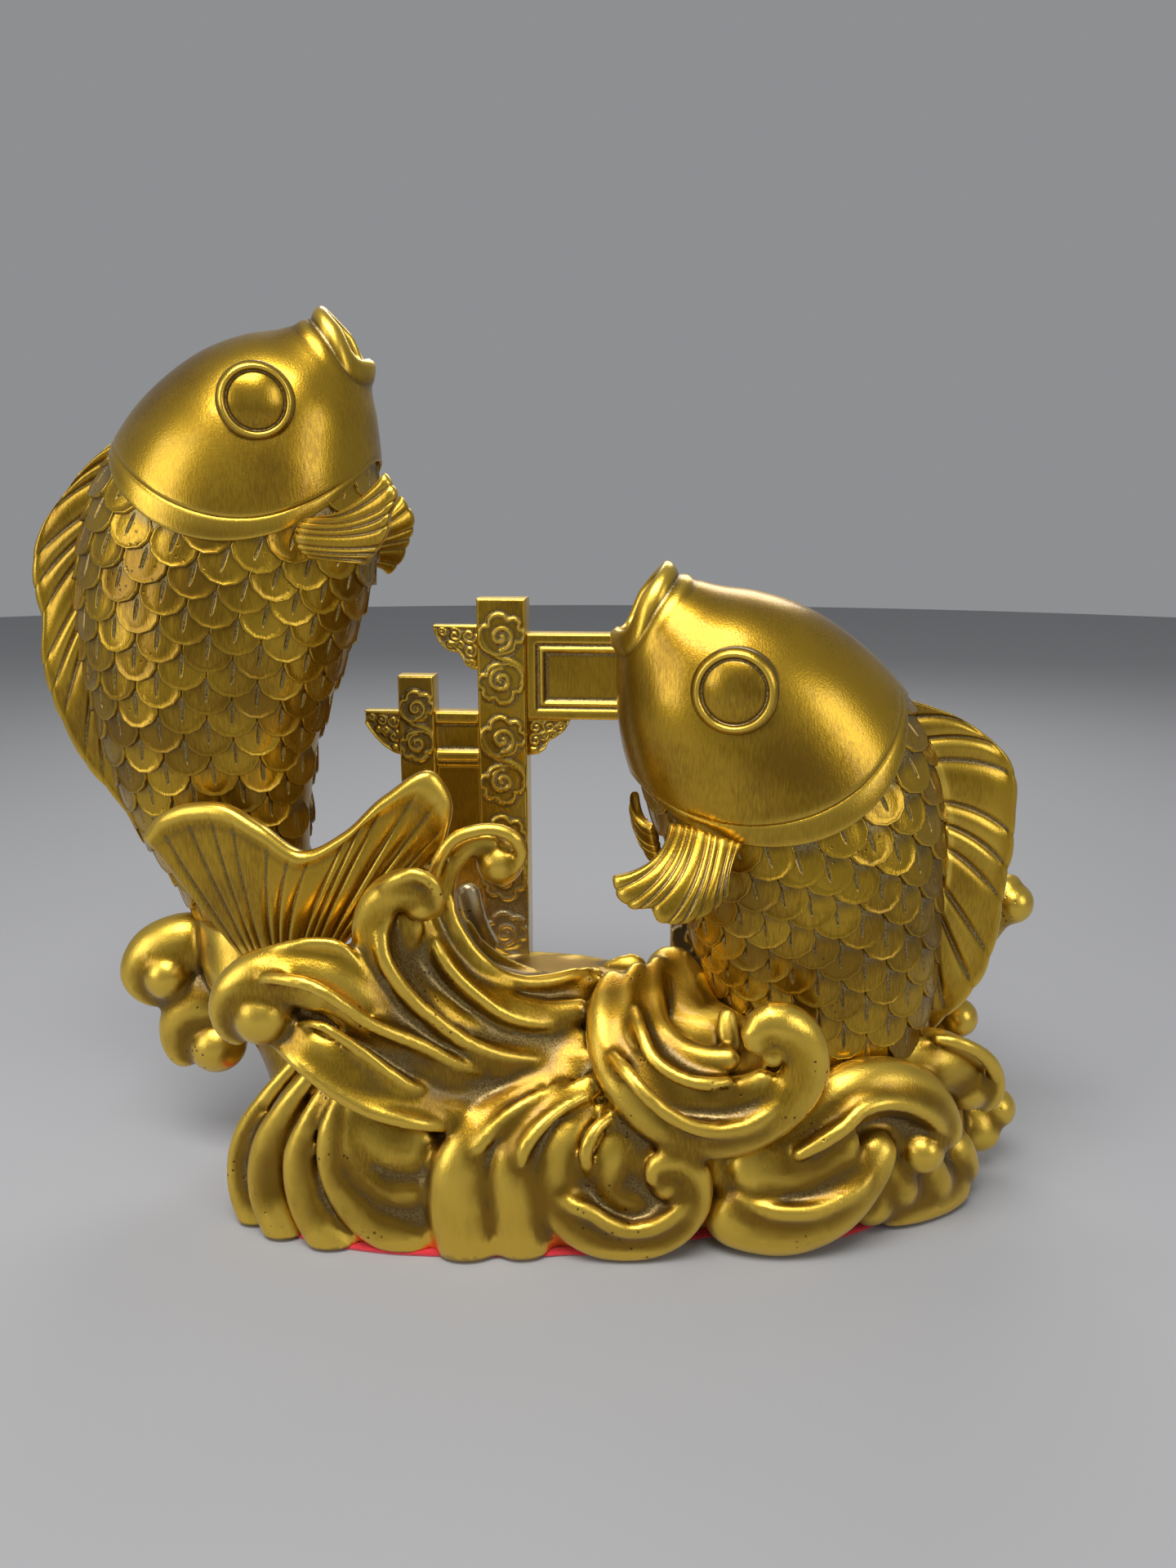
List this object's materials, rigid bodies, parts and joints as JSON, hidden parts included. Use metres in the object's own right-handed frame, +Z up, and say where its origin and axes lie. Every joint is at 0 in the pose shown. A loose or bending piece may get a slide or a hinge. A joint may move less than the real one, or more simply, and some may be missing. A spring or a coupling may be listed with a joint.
{
  "type": "fish figurine",
  "caption": "Gilded cast figurine of leaping carps with fanned fins, curling wave base and a four-post gate behind them",
  "frame": {"origin": "on the underside of the felt, below the middle of the figurine", "axes": "+Z up, +X to the right as seen from the front, +Y away from the viewer to the back of the figurine"},
  "size_m": [0.3353, 0.1288, 0.2826],
  "materials": {
    "carp_gold": "cast resin under brushed metallic gold paint, darker in the recesses",
    "wave_gold": "cast resin under glossy metallic gold paint, brown in the grooves",
    "gate_gold": "cast resin under duller gold paint, pale where the brush missed",
    "red_felt": "thin red felt glued under the base",
    "steel_pin": "plain steel pin"
  },
  "bodies": {
    "root": {"felt_pad": "red_felt", "gate_low_bracket_left": "gate_gold", "gate_low_bracket_right": "gate_gold", "gate_plaque_beam": "gate_gold", "gate_short_post_left": "gate_gold", "gate_short_post_right": "gate_gold", "gate_side_beam_left": "gate_gold", "gate_side_beam_right": "gate_gold", "gate_side_panel_left": "gate_gold", "gate_side_panel_right": "gate_gold", "gate_spandrel_left": "gate_gold", "gate_spandrel_right": "gate_gold", "gate_tall_post_left": "gate_gold", "gate_tall_post_right": "gate_gold", "gate_upper_bracket_left": "gate_gold", "gate_upper_bracket_right": "gate_gold", "left_carp_body": "carp_gold", "left_carp_dorsal_fin": "carp_gold", "left_carp_eye_far": "carp_gold", "left_carp_eye_near": "carp_gold", "left_carp_head": "carp_gold", "left_carp_pectoral_fin_far": "carp_gold", "left_carp_pectoral_fin_near": "carp_gold", "left_carp_tail_fin": "carp_gold", "right_carp_body": "carp_gold", "right_carp_dorsal_fin": "carp_gold", "right_carp_eye_far": "carp_gold", "right_carp_eye_near": "carp_gold", "right_carp_head": "carp_gold", "right_carp_pectoral_fin_far": "carp_gold", "right_carp_pectoral_fin_near": "carp_gold", "steel_foot_pins": "steel_pin", "wave_base": "wave_gold", "wave_crest_back_right": "wave_gold", "wave_crest_centre": "wave_gold", "wave_crest_front": "wave_gold", "wave_crest_left": "wave_gold", "wave_crest_middle": "wave_gold", "wave_crest_right_high": "wave_gold", "wave_crest_right_low": "wave_gold", "wave_crest_right_middle": "wave_gold", "wave_crest_tall": "wave_gold", "wave_crest_tongue": "wave_gold", "wave_knob_left_lower": "wave_gold", "wave_knob_left_upper": "wave_gold", "wave_knobs_right": "wave_gold"}
  },
  "joints": []
}
